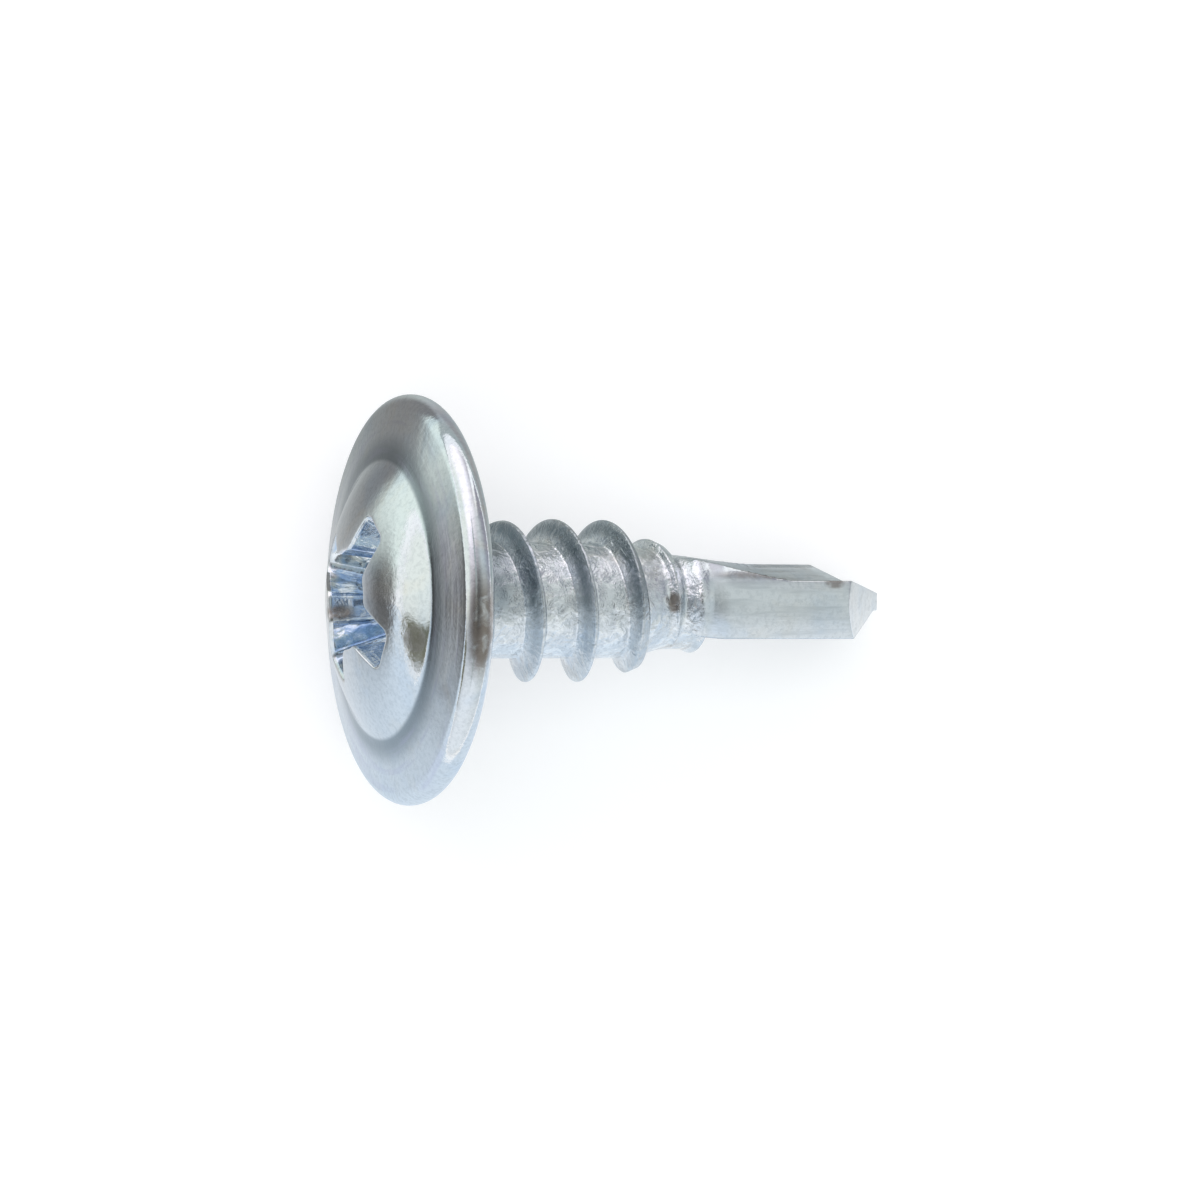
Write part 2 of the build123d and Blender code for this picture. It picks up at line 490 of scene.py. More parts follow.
def steps(at, *stops):
    """A broken line through (at, value) stops, level outside them."""
    total = stops[0][1]
    for (a0, v0), (a1, v1) in zip(stops, stops[1:]):
        share = limited((at - a0) / (a1 - a0), 0.0, 1.0)
        total = total + share * (v1 - v0)
    return total


def between(shut, opened, share):
    """From one number to another, for a share from 0 to 1."""
    return shut + (opened - shut) * share


def stops_at(first, counts, marks):
    """Stops for steps: the first mark at the first line, and one after each count of lines."""
    lines = [first]
    for count in counts:
        lines.append(lines[-1] + count)
    return list(zip(lines, marks))


def sloped(z, start, end):
    """The radius at a height on the straight line through two (height, radius) ends."""
    (z0, r0), (z1, r1) = start, end
    return r0 + (z - z0) * ((r1 - r0) / (z1 - z0))


# The shank is one grid. Its columns go round the axis and its rows from inside the head to
# the tip: two hidden rows, rows that follow the thread, rows round the collar, rows along
# the lands, over the round edge of the end faces, and in to the axis.
COLUMNS = (30, 14, 40, 36)  # on a flute's lead wall, its web, its trailing wall, and the land
HIDDEN_ROWS = 2
TURN_ROWS = (2, 3, 6, 3, 4)  # from mid crest to mid root: crest, its edge, flank, foot, root
PITCHES = 6
FIRST_PITCH = -2.5
CUFF_ROWS = (5, 5, 4, 1, 8)  # neck, collar's rise, its top, its flat end, foot of the lands
LAND_ROWS = 42
EDGE_ROWS = 4
END_ROWS = 18
PITCH_ROWS = 2 * sum(TURN_ROWS)
CUFF_FIRST = HIDDEN_ROWS + PITCH_ROWS * PITCHES
LAND_FIRST = CUFF_FIRST + sum(CUFF_ROWS)
EDGE_FIRST = LAND_FIRST + LAND_ROWS
FACE_FIRST = EDGE_FIRST + EDGE_ROWS

# heights under the bearing face, and steps between them
HELIX_START, HELIX_END = -0.1 * MM, 6.75 * MM  # of the rows that follow the thread
CUFF_END = 7.7 * MM  # where the rows along the lands begin
FLAT_END_DROP = 0.015 * MM  # of the collar's end, which is nearly square
POLE_HEIGHT = 0.45 * MM  # of the pole, which lies inside the first rows
CAP_STEP = 0.1 * MM  # inwards, from the first row to the ring round the pole
EDGE_ROWS_AT = (0.6, 1.6)  # times half the crest's width
FOOT_ROWS_AT = (0.86, 1.16)  # times the flank's end

# rounds between the shank's runs
FLUTE_ROUND = 0.12 * MM  # of a flute's floor
RUN_OUT_ROUND = 0.1 * MM  # where the ridge rises and dies away
RIDGE_ROUND = 0.08 * MM  # between the ridge and its run-outs
FOOT_ROUND = 0.07 * MM  # at the ridge's foot
CORNER_ROUND = 0.05 * MM  # of the neck's corners and the crest's edges
JOIN_ROUND = 0.04 * MM  # where the collar and the lands meet the neck, and at the tip
LAND_ROUND = 0.03 * MM  # of the lands' edges

RIDGE_OVERRUN = 0.1 * MM  # of the rising run-out over the crest
RIDGE_SINK = 0.2 * MM  # of the ridge's end under the neck
FAR_AWAY = 10 * MM  # added to a flute where it must cut nothing
FACING_LEAST = 0.01  # for a wall that faces away, which is then far off
EDGE_MOST = 0.3  # of the radius, for the round edge of the end faces


def flute(size, turn, open_share):
    """Distance from the axis to the walls of a V flute, looking along an angle."""
    middle = (size["scoop_lead"] + size["scoop_trail"]) * 0.5
    neck_r, web_r, drill_r = size["neck"] * 0.5, size["web"] * 0.5, size["drill"] * 0.5
    floor_x = between(neck_r * cos(middle), web_r * cos(size["web_angle"]), open_share)
    floor_y = between(neck_r * sin(middle), web_r * sin(size["web_angle"]), open_share)
    c, s = cos(turn), sin(turn)

    def wall(angle_shut, angle_open, sign):
        at = between(angle_shut, angle_open, open_share)
        edge_x, edge_y = drill_r * cos(at) - floor_x, drill_r * sin(at) - floor_y
        out_x, out_y = -sign * edge_y, sign * edge_x
        reach = root(out_x * out_x + out_y * out_y)
        facing = (out_x * c + out_y * s) / reach
        return ((out_x * floor_x + out_y * floor_y) / reach) / higher(facing, FACING_LEAST)

    lead = wall(size["scoop_lead"], size["lip_angle"] - math.pi, 1.0)
    trail = wall(size["scoop_trail"], size["lip_angle"] - size["land_angle"], -1.0)
    return higher(lead, trail, FLUTE_ROUND)


def column_turn(size, column):
    """The angle of a column. Both half turns have the same, with one on each flute's edge."""
    half = sum(COLUMNS)
    half_turn = floor(column / half)
    fall = size["lip_fall"] / size["relief_fall"]
    marks = (
        size["lip_angle"] - math.pi,
        size["web_angle"],
        size["lip_angle"] - math.pi + fall.math("ARCTANGENT", fall, 0.0),
        size["lip_angle"] - size["land_angle"],
        size["lip_angle"],
    )
    within = column - half_turn * half
    return steps(within, *stops_at(0, COLUMNS, marks)) + half_turn * math.pi


def thread_row_height(size, row, crest_z):
    """The height of a row that follows the thread."""
    place = (row - HIDDEN_ROWS) / PITCH_ROWS + FIRST_PITCH
    crest_number = floor(place + 0.5)
    off = (place - crest_number) * PITCH_ROWS
    crest_half = size["crest"] * 0.5
    ridge_height = (size["thread"] - size["root"]) * 0.5
    flank_end = crest_half + ridge_height * tan(size["flank"] * 0.5)
    marks = (
        0.0,
        crest_half * EDGE_ROWS_AT[0],
        crest_half * EDGE_ROWS_AT[1],
        flank_end * FOOT_ROWS_AT[0],
        flank_end * FOOT_ROWS_AT[1],
        size["pitch"] * 0.5,
    )
    across = steps(abs(off), *stops_at(0, TURN_ROWS, marks)) * off.math("SIGN", off)
    return limited(crest_z + crest_number * size["pitch"] + across, HELIX_START, HELIX_END)


def cuff_row_height(size, row):
    """The height of a row round the neck and the collar."""
    marks = (
        HELIX_END,
        size["collar_start"],
        size["collar_top"],
        size["neck_end"],
        size["neck_end"] + FLAT_END_DROP,
        CUFF_END,
    )
    return steps(row, *stops_at(CUFF_FIRST, CUFF_ROWS, marks))


def core_radius(size, z):
    """The turned core: root, neck and collar, and nothing past the collar's flat end."""
    root_r, neck_r, collar_r = size["root"] * 0.5, size["neck"] * 0.5, size["collar"] * 0.5
    narrowing = sloped(z, (size["root_end"], root_r), (size["neck_start"], neck_r))
    core = higher(lower(root_r, narrowing, CORNER_ROUND), neck_r, CORNER_ROUND)
    rise = sloped(z, (size["collar_start"], neck_r), (size["collar_top"], collar_r))
    core = higher(core, lower(rise, collar_r, CORNER_ROUND), JOIN_ROUND)
    past_end = z.math("GREATER_THAN", z, size["neck_end"] + FLAT_END_DROP / 3)
    return core * (1.0 - past_end)


def ridge_radius(size, z, crest_z):
    """The thread's ridge, with its slow rise by the head and its end in the neck."""
    crest_r = size["thread"] * 0.5
    wave = (z - crest_z) / size["pitch"]
    from_crest = abs(wave - floor(wave + 0.5)) * size["pitch"]
    flank = crest_r - (from_crest - size["crest"] * 0.5) / tan(size["flank"] * 0.5)
    start_r = size["root"] * 0.5 - size["thread_start"]  # as far in as it is down
    rising = sloped(
        z, (size["thread_start"], start_r), (size["full_start"], crest_r + RIDGE_OVERRUN)
    )
    falling = crest_r - (z - size["full_end"]) * tan(size["taper"])
    last_r = crest_r - (size["thread_end"] - size["full_end"]) * tan(size["taper"])
    buried = size["neck"] * 0.5 - RIDGE_SINK
    fading = last_r - (z - size["thread_end"]) * ((last_r - buried) / size["fade"])
    run_outs = lower(rising, lower(falling, fading, RUN_OUT_ROUND), RUN_OUT_ROUND)
    return lower(lower(crest_r, flank, CORNER_ROUND), run_outs, RIDGE_ROUND)


def land_radius(size, z, far_flute):
    """The lands as they rise from the neck in two steps, with the far flute cut in."""
    neck_r, step_r, drill_r = size["neck"] * 0.5, size["land_step"] * 0.5, size["drill"] * 0.5
    first = sloped(z, (size["land_start"], neck_r), (size["land_step_end"], step_r))
    second = sloped(z, (size["land_step_end"], step_r), (size["land_full"], drill_r))
    land = lower(lower(first, second, CORNER_ROUND), drill_r, LAND_ROUND)
    return lower(land, far_flute, LAND_ROUND)


def run_out_flute(size, turn, z):
    """The near flute, which deepens slowly from the neck, and far away before it starts."""
    along = limited((z - size["scoop_start"]) / size["scoop"], 0.0, 1.0)
    open_share = 1.0 - power(1.0 - along, size["scoop_bend"])
    before = z.math("LESS_THAN", z, size["scoop_start"])
    return flute(size, turn, open_share) + before * FAR_AWAY


def shank_surface(size, column, row):
    """(x, y, z) of a grid point, for its column and row."""
    turn = column_turn(size, column)
    crest_z = size["crest_at_x"] + size["pitch"] * turn / (2 * math.pi)

    # the drill point's full section, and its slanting end
    near_flute = flute(size, turn, 1.0)
    far_flute = lower(flute(size, turn - math.pi, 1.0), flute(size, turn + math.pi, 1.0))
    full_r = lower(lower(near_flute, far_flute), size["drill"] * 0.5, LAND_ROUND)
    lip_cos = cos(turn - size["lip_angle"])
    lip_sin = sin(size["lip_angle"] - turn)
    end_fall = abs(size["lip_fall"] * lip_cos + size["relief_fall"] * lip_sin)
    corner_z = size["tip"] - end_fall * full_r
    edge = lower(full_r * EDGE_MOST, JOIN_ROUND)

    # the side, from the head to the end faces
    on_cuff = row.math("GREATER_THAN", row, CUFF_FIRST - 0.5)
    z = between(thread_row_height(size, row, crest_z), cuff_row_height(size, row), on_cuff)
    down_land = steps(row, (LAND_FIRST, 0.0), (EDGE_FIRST, 1.0))
    z = z + down_land * (corner_z - edge - CUFF_END)
    body = higher(core_radius(size, z), ridge_radius(size, z, crest_z), FOOT_ROUND)
    body = higher(body, land_radius(size, z, far_flute), JOIN_ROUND)
    radius = lower(body, run_out_flute(size, turn, z), LAND_ROUND)

    # the round edge of the end faces, and the faces in to the axis
    share = limited((row - EDGE_FIRST) / EDGE_ROWS, 0.0, 1.0)
    edge_r = full_r - edge * share * share
    edge_z = (
        (1.0 - share) * (1.0 - share) * (corner_z - edge)
        + 2.0 * share * (1.0 - share) * corner_z
        + share * share * (corner_z + end_fall * edge)
    )
    face_share = limited((row - FACE_FIRST) / END_ROWS, 0.0, 1.0)
    face_r = (full_r - edge) * (1.0 - face_share)
    face_z = size["tip"] - end_fall * face_r
    on_edge = row.math("GREATER_THAN", row, EDGE_FIRST + 0.5)
    on_face = row.math("GREATER_THAN", row, FACE_FIRST + 0.5)
    radius = between(radius, between(edge_r, face_r, on_face), on_edge)
    z = between(z, between(edge_z, face_z, on_face), on_edge)

    # the hidden start, inside the head: a pole and the ring round it
    at_pole = row.math("LESS_THAN", row, 0.5)
    at_cap = row.math("LESS_THAN", row, 1.5) - at_pole
    radius = radius * (1.0 - at_pole) - at_cap * CAP_STEP
    z = between(z, HELIX_START, at_cap) + at_pole * (POLE_HEIGHT - HELIX_START)
    return radius * cos(turn), radius * sin(turn), z


def shank_tree(names):
    """The geometry tree that makes the shank from its named sizes."""
    tree = bpy.data.node_groups.new("screw_shank", "GeometryNodeTree")
    for name in names:
        tree.interface.new_socket(name, in_out="INPUT", socket_type="NodeSocketFloat")
    tree.interface.new_socket("Shank", in_out="OUTPUT", socket_type="NodeSocketGeometry")
    inputs = tree.nodes.new("NodeGroupInput")
    output = tree.nodes.new("NodeGroupOutput")
    rows = FACE_FIRST + END_ROWS + 1
    grid = tree.nodes.new("GeometryNodeMeshGrid")
    grid.inputs["Vertices X"].default_value = 2 * sum(COLUMNS) + 1
    grid.inputs["Vertices Y"].default_value = rows
    index = Term(tree, tree.nodes.new("GeometryNodeInputIndex").outputs[0])
    column = floor((index + 0.5) / rows)
    row = index - column * rows
    size = {name: Term(tree, slot) for name, slot in zip(names, inputs.outputs)}
    x, y, z = shank_surface(size, column, row)
    place = tree.nodes.new("ShaderNodeCombineXYZ")
    for slot, term in zip(place.inputs, (x, y, z)):
        tree.links.new(term.socket, slot)
    move = tree.nodes.new("GeometryNodeSetPosition")
    weld = tree.nodes.new("GeometryNodeMergeByDistance")
    weld.inputs["Distance"].default_value = WELD
    smooth = tree.nodes.new("GeometryNodeSetShadeSmooth")
    realize = tree.nodes.new("GeometryNodeRealizeInstances")
    finish = tree.nodes.new("GeometryNodeSetMaterial")
    finish.inputs["Material"].default_value = zinc()
    tree.links.new(place.outputs[0], move.inputs["Position"])
    chain = (grid, move, weld, smooth, realize, finish, output)
    for before, after in zip(chain, chain[1:]):
        tree.links.new(before.outputs[0], after.inputs[0])
    return tree


def shank_mesh():
    """The shank as a plain closed mesh, upright, with its start inside the head."""
    sizes = settings("screw_shank")
    tree = shank_tree(list(ScrewShankSizes.__annotations__))
    blank = bpy.data.objects.new("shank_blank", bpy.data.meshes.new("shank_blank"))
    bpy.context.scene.collection.objects.link(blank)
    modifier = blank.modifiers.new("Shank", "NODES")
    modifier.node_group = tree
    for item in tree.interface.items_tree:
        if item.in_out == "INPUT":
            modifier[item.identifier] = getattr(sizes, item.name)
    graph = bpy.context.evaluated_depsgraph_get()
    mesh = bpy.data.meshes.new_from_object(blank.evaluated_get(graph), depsgraph=graph)
    bpy.data.objects.remove(blank)
    made = bmesh.new()
    made.from_mesh(mesh)
    bmesh.ops.recalc_face_normals(made, faces=made.faces)
    made.to_mesh(mesh)
    made.free()
    return mesh


# ---------------------------------------------------------------- material


def link(tree, value, slot):
    """Sets a socket from a number, a colour or another socket."""
    if isinstance(value, Term):
        value = value.socket
    if isinstance(value, bpy.types.NodeSocket):
        tree.links.new(value, slot)
    elif slot.type == "RGBA":
        slot.default_value = (*value, 1)
    else:
        slot.default_value = value


def mixed(tree, share, shut, opened):
    """A colour between two colours or colour sockets."""
    node = tree.nodes.new("ShaderNodeMix")
    node.data_type = "RGBA"
    link(tree, share, node.inputs["Factor"])
    link(tree, shut, node.inputs[6])
    link(tree, opened, node.inputs[7])
    return node.outputs[2]


def ramped(tree, value, low, high, start=0.0, end=1.0):
    """A number that goes smoothly from start to end while the value goes from low to high."""
    node = tree.nodes.new("ShaderNodeMapRange")
    node.interpolation_type = "SMOOTHSTEP"
    for slot, item in zip(node.inputs, (value, low, high, start, end)):
        link(tree, item, slot)
    return Term(tree, node.outputs[0])


def placed(tree, place, centre, turn, scale):
    """The place as seen from a centre, turned and in units of the scale."""
    mapping = tree.nodes.new("ShaderNodeMapping")
    mapping.vector_type = "TEXTURE"
    link(tree, place, mapping.inputs["Vector"])
    mapping.inputs["Location"].default_value = centre
    mapping.inputs["Rotation"].default_value = turn
    mapping.inputs["Scale"].default_value = scale
    return mapping.outputs[0]


def oval(tree, place, centre, turn, half, soft):
    """1 in an oval round a centre and 0 outside it, with a soft edge."""
    ball = tree.nodes.new("ShaderNodeTexGradient")
    ball.gradient_type = "SPHERICAL"
    link(tree, placed(tree, place, centre, turn, [2 * h for h in half]), ball.inputs[0])
    return ramped(tree, ball.outputs["Fac"], 0.5 - soft / 2, 0.5 + soft / 2)


# dark spots: name, middle on the screw in mm, half sizes in mm, softness and strength. The spots
# on the rim, on the dome, by the recess and on the neck are painted dark reflections, the spots
# deep in the recess and along the edge of the near land are painted shade, and the rest are dark
# spots.
SPOTS = (
    ("rim, painted dark reflection", (-0.75, 5.02, -0.4), (1.25, 0.35, 0.32), 0.45, 0.95),
    ("dome", (-0.95, 2.95, -1.35), (0.33, 0.38, 0.3), 0.18, 0.5),
    ("deep in the recess", (-0.32, -1.16, -1.75), (0.2, 0.4, 0.35), 0.5, 0.9),
    ("dome, by the recess", (0.42, 2.05, -1.82), (0.5, 0.4, 0.4), 0.6, 0.55),
    ("neck", (-0.05, 1.32, 6.28), (0.26, 0.25, 0.15), 0.35, 0.9),
    ("near land", (0.46, 1.52, 10.66), (0.13, 0.2, 0.26), 0.3, 0.7),
    ("edge of the near land", (0.66, 1.47, 9.3), (0.1, 0.25, 1.9), 0.5, 0.6),
    ("flange", (-2.2, 3.7, -0.7), (0.2, 0.3, 0.3), 0.6, 0.35),
    ("far flange", (0.6, -4.2, -0.75), (0.5, 0.35, 0.3), 0.5, 0.5),
    ("far land", (-0.5, -1.5, 9.1), (0.2, 0.2, 0.3), 0.4, 0.6),
)


# noises: grains for each unit of their place, detail, roughness and warp
NOISES = {
    "blue clouds": (0.55, 3.0, 0.6, 0.4),
    "warm clouds": (0.8, 3.0, 0.6, 0.5),
    "waves": (0.9, 1.0, 0.4, 0.0),
    "gloss": (1.6, 3.0, 0.6, 0.0),
    "patches": (1.7, 2.0, 0.5, 1.0),
    "grain": (3.4, 4.0, 0.62, 0.6),
    "skin": (9.0, 3.0, 0.6, 0.0),
    "long marks": (5.0, 3.0, 0.6, 0.0),
    "streaks": (1.0, 2.0, 0.5, 0.0),
}
WARM_CLOUDS_AT = (7, 3, 5)  # mm, so that they don't lie where the blue ones do
LONG_MARKS_STRETCH = (1, 1, 9)  # times, along the screw
STREAKS_OUTWARDS, STREAKS_ROUND = 4.5, 1.6  # streaks' grains for each mm and each radian

# borders between looks: the two values that each lies between and, where they aren't 0
# and 1, its shares there. Heights are mm under the bearing face, widths mm from the axis,
# and sides mm off it.
BORDERS = {
    "shank, by height": (0.1, 0.9),
    "rolled part, by height": (7.3, 6.9),
    "flange, by width": (3.4, 3.6),
    "recess, by depth": (0.04, 0.12),
    "recess, by width": (2.5, 2.35),
    "recess, by its cone": (0.6, 0.45),
    "crease, by width": (3.40, 3.52),
    "crease's outer side, by width": (4.3, 3.6),
    "crease, by height": (-0.3, -0.6),
    "ridges, by width": (1.5, 1.8),
    "ridges, by side": (-1.2, 0.6, 0.35, 1.0),
    "crests, by width": (1.88, 2.04, 1.0, 0.5),
    "corner, by height": (2.3, 1.5, 0.0, 0.9),
    "corner, by side": (-0.9, 0.3),
    "flutes, by width": (1.59, 1.47),
    "flutes, by height": (8.0, 8.6),
    "flutes, by the end's cone": (12.45, 12.2),
    "blue clouds": (0.45, 0.75, 0.0, 0.6),
    "warm clouds": (0.5, 0.75, 0.0, 0.6),
    "mottle": (0.4, 0.7, 0.0, 0.22),
    "mottle on the point": (0.45, 0.7, 0.0, 0.3),
    "glints": (0.5, 0.62, 0.0, 0.85),
    "pinched marks": (0.3, 0.65, 0.5, 0.1),
    "bright patches": (0.46, 0.38, 0.0, 0.9),
    "blue patches": (0.44, 0.56, 0.0, 0.95),
    "violet streaks": (0.5, 0.7, 0.0, 0.35),
    "grain in spots": (0.25, 0.55, 0.35, 1.0),
    "roughness": (0.35, 0.75, 0.06, 0.13),
}
RECESS_CONE, END_CONE = 0.35, 0.8  # mm of height for each mm of width
CREASE_STRENGTH = 0.95
SHANK_ROUGHER, SPOTS_ROUGHER = 0.03, 0.22  # added to the roughness

# relief of each noise, in mm
RELIEF = {
    "grain": 0.005,
    "grain on the rolled part": 0.055,
    "long marks": 0.010,
    "skin": 0.0018,
    "waves": 0.02,
    "streaks": 0.007,
    "patches in the recess": 0.02,
    "patches on the rolled part": 0.07,
}


class Plate:
    """The plate's nodes: where a place is on the screw, its noises, and its tint so far."""

    def __init__(self, tree, tint):
        self.tree = tree
        self.tint = tint
        matrix = lying()
        where = tree.nodes.new("ShaderNodeTexCoord").outputs["Object"]
        self.place = placed(tree, where, matrix.translation, matrix.to_euler(), (MM, MM, MM))
        split = tree.nodes.new("ShaderNodeSeparateXYZ")
        link(tree, self.place, split.inputs[0])
        self.off_x, self.off_y, self.down = (Term(tree, slot) for slot in split.outputs)
        self.out = root(self.off_x * self.off_x + self.off_y * self.off_y)

        self.shank = self.share(self.down, "shank, by height")
        self.rolled = self.shank * self.share(self.down, "rolled part, by height")
        self.point = self.shank - self.rolled
        self.flange = (1.0 - self.shank) * self.share(self.out, "flange, by width")
        self.recess = self.recess_share()

        stretched = placed(tree, self.place, (0, 0, 0), (0, 0, 0), LONG_MARKS_STRETCH)
        self.grain = self.noise("grain", self.place)
        self.skin = self.noise("skin", self.place)
        self.patches = self.noise("patches", self.place)
        self.long_marks = self.noise("long marks", stretched)
        self.streaks = self.noise("streaks", self.round_place())

    def noise(self, name, place):
        """A noise from 0 to 1."""
        node = self.tree.nodes.new("ShaderNodeTexNoise")
        link(self.tree, place, node.inputs["Vector"])
        for slot, value in zip(("Scale", "Detail", "Roughness", "Distortion"), NOISES[name]):
            node.inputs[slot].default_value = value
        return Term(self.tree, node.outputs["Fac"])

    def share(self, value, border):
        """A share that follows a value across a border."""
        return ramped(self.tree, value, *BORDERS[border])

    def paint(self, share, tint):
        """Lays a tint over the plate, by its share."""
        self.tint = mixed(self.tree, share, self.tint, tint)

    def recess_share(self):
        """1 on the walls of the recess, under the dome's face and clear of its edge."""
        head = settings("screw_head")
        ball = dome_radius(head) / MM
        top = (head.rim + head.flange_rise + head.dome_height) / MM
        dome = ball - root(ball**2 - self.out * self.out) - top
        inside = self.share(self.down - dome, "recess, by depth")
        inside = inside * self.share(self.out, "recess, by width")
        cone = self.down + self.out * RECESS_CONE
        return inside * self.share(cone, "recess, by its cone")

    def round_place(self):
        """A place that runs outwards and round the axis, for the streaks on the flange."""
        lean = self.tree.nodes.new("ShaderNodeCombineXYZ")
        link(self.tree, self.out * STREAKS_OUTWARDS, lean.inputs[0])
        link(self.tree, self.off_x / self.out * STREAKS_ROUND, lean.inputs[1])
        link(self.tree, self.off_y / self.out * STREAKS_ROUND, lean.inputs[2])
        return lean.outputs[0]


def paint_plate(plate, look):
    """Clouds and mottling all over, then painted glints and painted shade on the parts of the
    screw that look different, and streaks on the flange.
    """
    tree, share = plate.tree, plate.share
    warm_place = placed(tree, plate.place, WARM_CLOUDS_AT, (0, 0, 0), (1, 1, 1))
    blue = plate.noise("blue clouds", plate.place)
    warm = plate.noise("warm clouds", warm_place)
    plate.paint(share(blue, "blue clouds"), look.blue[:])
    plate.paint(share(warm, "warm clouds"), look.warm[:])
    mottle = share(plate.skin, "mottle")
    on_point = plate.point * share(plate.long_marks, "mottle on the point")
    plate.paint(higher(mottle, on_point), look.shade_and_mottle[:])

    # painted glints between the thread's turns, and painted shade in the crease round the dome,
    # on the ridges, darker on one side and lighter at the crests, and in the corner by the head
    # on that same side
    plate.paint(plate.rolled * share(plate.grain, "glints"), look.bright[:])
    crease = share(plate.out, "crease, by width")
    crease = crease * share(plate.out, "crease's outer side, by width")
    crease = crease * share(plate.down, "crease, by height")
    # painted shade on the ridges, darker on one side
    ridges = plate.rolled * share(plate.out, "ridges, by width")
    ridges = ridges * share(plate.off_x, "ridges, by side")
    ridges = ridges * share(plate.out, "crests, by width")
    # painted shade in the corner by the head
    corner = plate.rolled * share(plate.down, "corner, by height")
    corner = corner * share(plate.off_x, "corner, by side")
    shade_and_mottle = higher(higher(crease * CREASE_STRENGTH, ridges), corner)
    plate.paint(shade_and_mottle, look.shade_and_mottle[:])

    # painted shade, brownish grey, in lengthwise marks in the pinched flutes
    flutes = share(plate.out, "flutes, by width") * share(plate.down, "flutes, by height")
    cone = plate.down + plate.out * END_CONE
    flutes = flutes * share(cone, "flutes, by the end's cone")
    plate.paint(flutes * share(plate.long_marks, "pinched marks"), look.pinched[:])

    # painted glints and painted bluish shade in the recess, and streaks that the header left
    plate.paint(plate.recess * share(plate.patches, "bright patches"), look.bright[:])
    plate.paint(plate.recess * share(plate.patches, "blue patches"), look.deep[:])
    plate.paint(plate.flange * share(plate.streaks, "violet streaks"), look.violet[:])


def painted_dark_spots(plate):
    """1 in the dark spots, which are mostly painted dark reflections and shade, and 0 round
    them, broken up by the grain.
    """
    dark_spots = None
    for name, middle, half, soft, strength in SPOTS:
        spot = oval(plate.tree, plate.place, middle, (0, 0, 0), half, soft) * strength
        dark_spots = spot if dark_spots is None else higher(dark_spots, spot)
    return dark_spots * plate.share(plate.grain, "grain in spots")


def plate_height(plate):
    """Dents of the thread rolls, lengthwise marks on the point, a faint skin elsewhere."""
    waves = plate.noise("waves", plate.place)
    on_rolled = plate.grain * RELIEF["grain on the rolled part"]
    on_rolled = on_rolled + plate.patches * RELIEF["patches on the rolled part"]
    return (
        plate.grain * RELIEF["grain"]
        + plate.rolled * on_rolled
        + plate.point * plate.long_marks * RELIEF["long marks"]
        + plate.skin * RELIEF["skin"]
        + waves * RELIEF["waves"]
        + plate.flange * plate.streaks * RELIEF["streaks"]
        + plate.recess * plate.patches * RELIEF["patches in the recess"]
    )


def zinc():
    """Bright zinc plate: bluish metal with faint colour and fine grain, with painted glints,
    painted shade and dark spots that are mostly painted dark reflections.
    """
    known = bpy.data.materials.get("bright_zinc_plate")
    if known:
        return known
    look = settings("zinc_finish")
    material = bpy.data.materials.new("bright_zinc_plate")
    material.use_nodes = True
    tree = material.node_tree
    shader = tree.nodes["Principled BSDF"]
    shader.inputs["Metallic"].default_value = 1.0
    plate = Plate(tree, look.plate[:])
    paint_plate(plate, look)
    # dark spots, mostly painted dark reflections and shade
    dark_spots = painted_dark_spots(plate)
    plate.paint(dark_spots, look.painted_dark[:])
    link(tree, plate.tint, shader.inputs["Base Color"])

    # the rolled and pinched shank is a little duller than the head
    rough = plate.share(plate.noise("gloss", plate.place), "roughness")
    rough = rough + plate.shank * SHANK_ROUGHER + dark_spots * SPOTS_ROUGHER
    link(tree, rough, shader.inputs["Roughness"])

    bump = tree.nodes.new("ShaderNodeBump")
    bump.inputs["Strength"].default_value = 1.0
    bump.inputs["Distance"].default_value = MM
    link(tree, plate_height(plate), bump.inputs["Height"])
    link(tree, bump.outputs[0], shader.inputs["Normal"])
    return material


class SCREW_OT_head(bpy.types.Operator):
    """Makes the wafer head with its round rim, dome and cross recess"""

    bl_idname = "screw.head"
    bl_label = "Head"

    def execute(self, context):
        size = settings("screw_head")
        turn = recess_columns(size, HEAD_COLUMNS)
        mesh = ring_mesh("zinc_screw", head_rings(size, turn), turn)
        mesh.materials.append(zinc())
        screw = bpy.data.objects.new("zinc_screw", mesh)
        context.scene.collection.objects.link(screw)
        return {"FINISHED"}


class SCREW_OT_shank(bpy.types.Operator):
    """Adds the threaded shank and the drill point to the head"""

    bl_idname = "screw.shank"
    bl_label = "Shank"

    def execute(self, context):
        screw = bpy.data.objects["zinc_screw"]
        shank = bpy.data.objects.new("shank", shank_mesh())
        context.scene.collection.objects.link(shank)
        union = screw.modifiers.new("Union", "BOOLEAN")
        union.operation = "UNION"
        union.solver = "MANIFOLD"
        union.object = shank
        graph = context.evaluated_depsgraph_get()
        mesh = bpy.data.meshes.new_from_object(screw.evaluated_get(graph), depsgraph=graph)
        screw.modifiers.remove(union)
        bpy.data.objects.remove(shank)
        mesh.transform(lying())
        mesh.shade_smooth()
        screw.data = mesh
        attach(screw, "root")
        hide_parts(NODE)
        return {"FINISHED"}


# ---------------------------------------------------------------- studio


